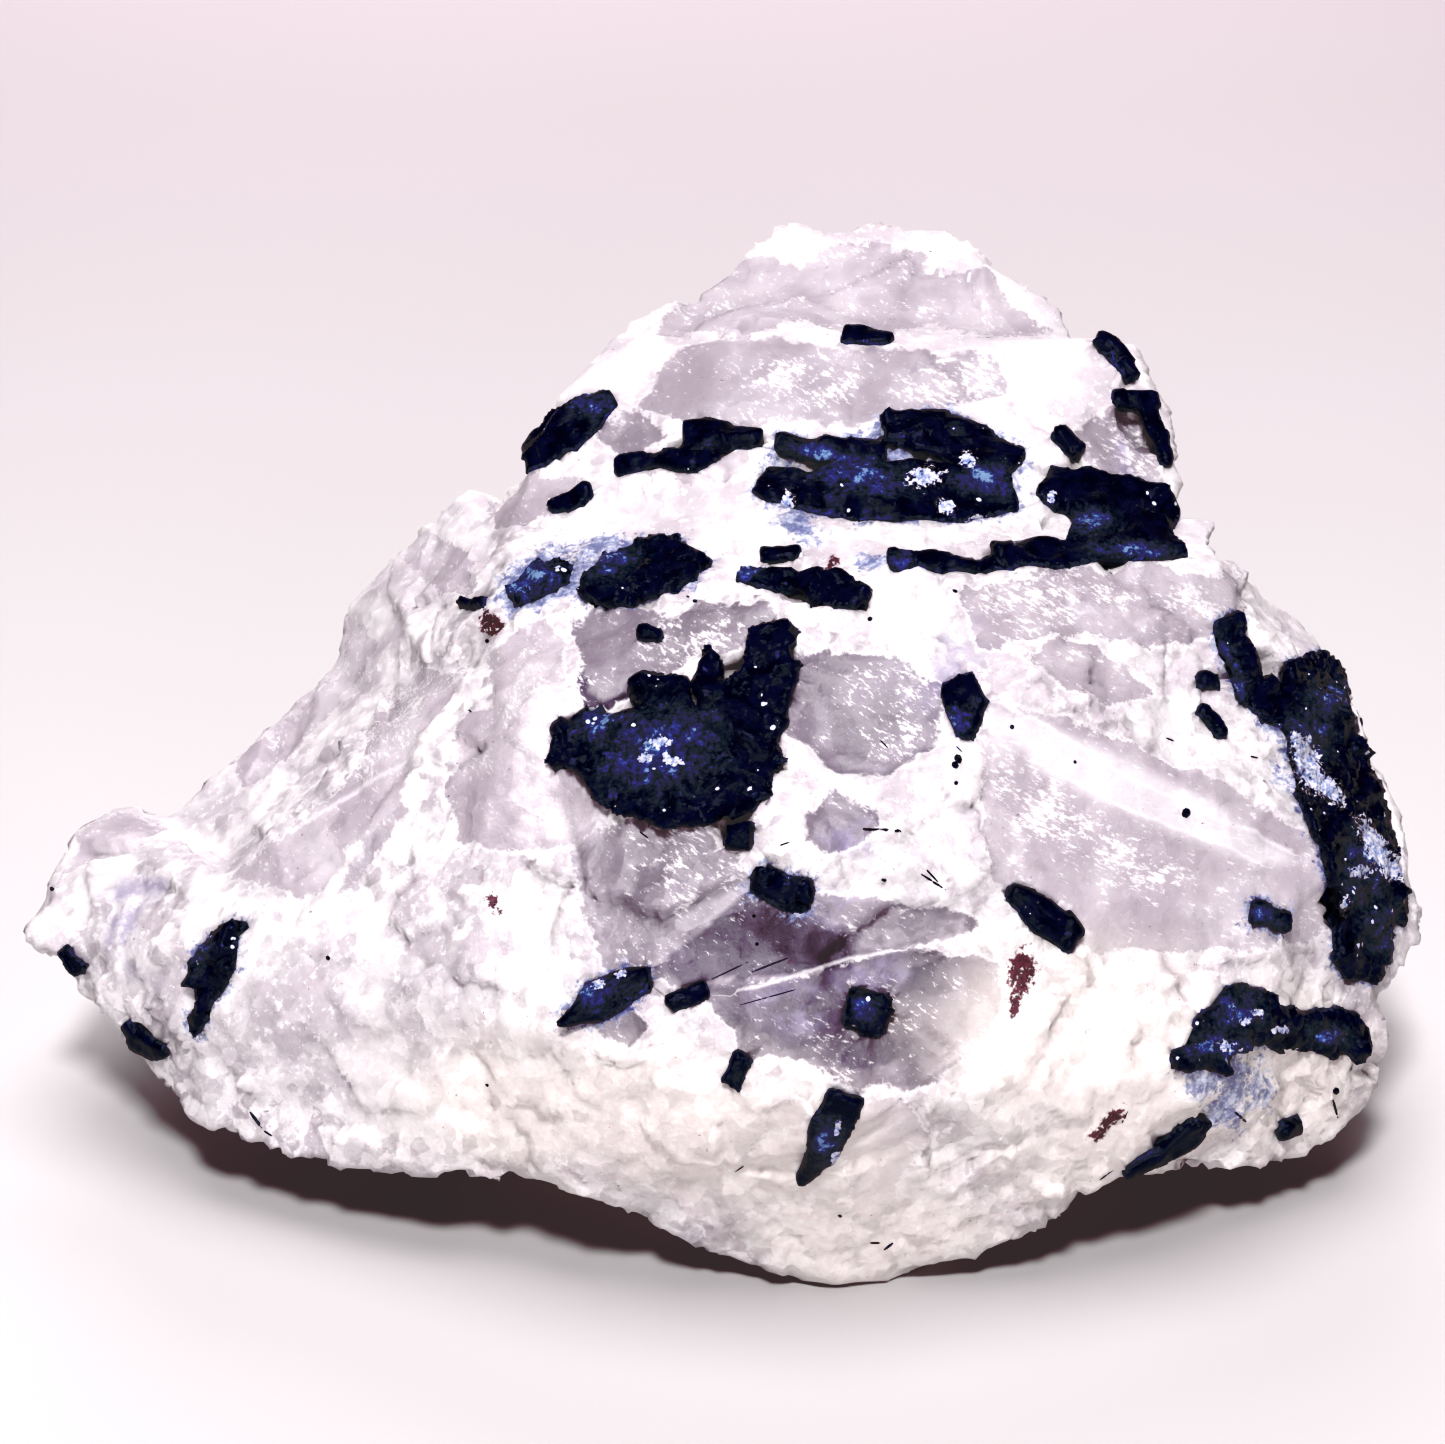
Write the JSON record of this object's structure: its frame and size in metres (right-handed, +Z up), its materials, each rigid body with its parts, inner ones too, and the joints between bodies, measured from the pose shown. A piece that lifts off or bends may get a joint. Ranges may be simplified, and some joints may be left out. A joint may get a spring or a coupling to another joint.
{
  "type": "tourmalinated quartz specimen",
  "caption": "Rough broken block of milky quartz grown through by blue-black tourmaline crystals that lie open in its fracture faces; rests on a flat fracture.",
  "frame": {"origin": "the middle of the bounding box's underside, on the flat resting face", "axes": "+Z up; +X along the stone's longest extent, to the right as the crystal-rich face is looked at; -Y the front, towards that face's viewer"},
  "size_m": [0.0658, 0.0426, 0.0378],
  "materials": {
    "quartz": "milky white, translucent, granular fractures with glassy grey-lilac patches",
    "tourmaline": "blue-black, vitreous, striated along each crystal or granular"
  },
  "bodies": {
    "root": {"quartz": "quartz", "crystal_upper_left": "tourmaline", "crystal_hook": "tourmaline", "crystal_upper_rod": "tourmaline", "crystal_long_band": "tourmaline", "crystal_right_band": "tourmaline", "crystal_small_window": "tourmaline", "crystal_top_edge": "tourmaline", "crystal_right_edge": "tourmaline", "crystal_summit": "tourmaline", "crystal_blue_left": "tourmaline", "crystal_granular": "tourmaline", "crystal_left_tips": "tourmaline", "crystal_bead_row": "tourmaline", "crystal_mid_pair": "tourmaline", "crystal_bead": "tourmaline", "crystal_heart": "tourmaline", "crystal_granule": "tourmaline", "crystal_blade_window": "tourmaline", "crystal_oval": "tourmaline", "crystal_blue_fan": "tourmaline", "crystal_black_chip": "tourmaline", "crystal_hexagon": "tourmaline", "crystal_short_rod": "tourmaline", "crystal_lower_rod": "tourmaline", "crystal_diagonal": "tourmaline", "crystal_right_flank": "tourmaline", "crystal_small_right": "tourmaline", "crystal_comma": "tourmaline", "crystal_bluish_window": "tourmaline", "crystal_lower_right": "tourmaline", "crystal_bottom_streak": "tourmaline", "crystal_triangle": "tourmaline", "crystal_left_blade": "tourmaline", "crystal_left_tip": "tourmaline", "crystal_left_edge": "tourmaline", "crystal_right_rear": "tourmaline", "crystal_right_low": "tourmaline", "crystal_back_rod": "tourmaline", "crystal_back_blade": "tourmaline", "crystal_back_upper": "tourmaline", "crystal_back_spray": "tourmaline", "crystal_back_grain": "tourmaline", "crystal_left_rear": "tourmaline", "crystal_left_low": "tourmaline"}
  },
  "joints": []
}
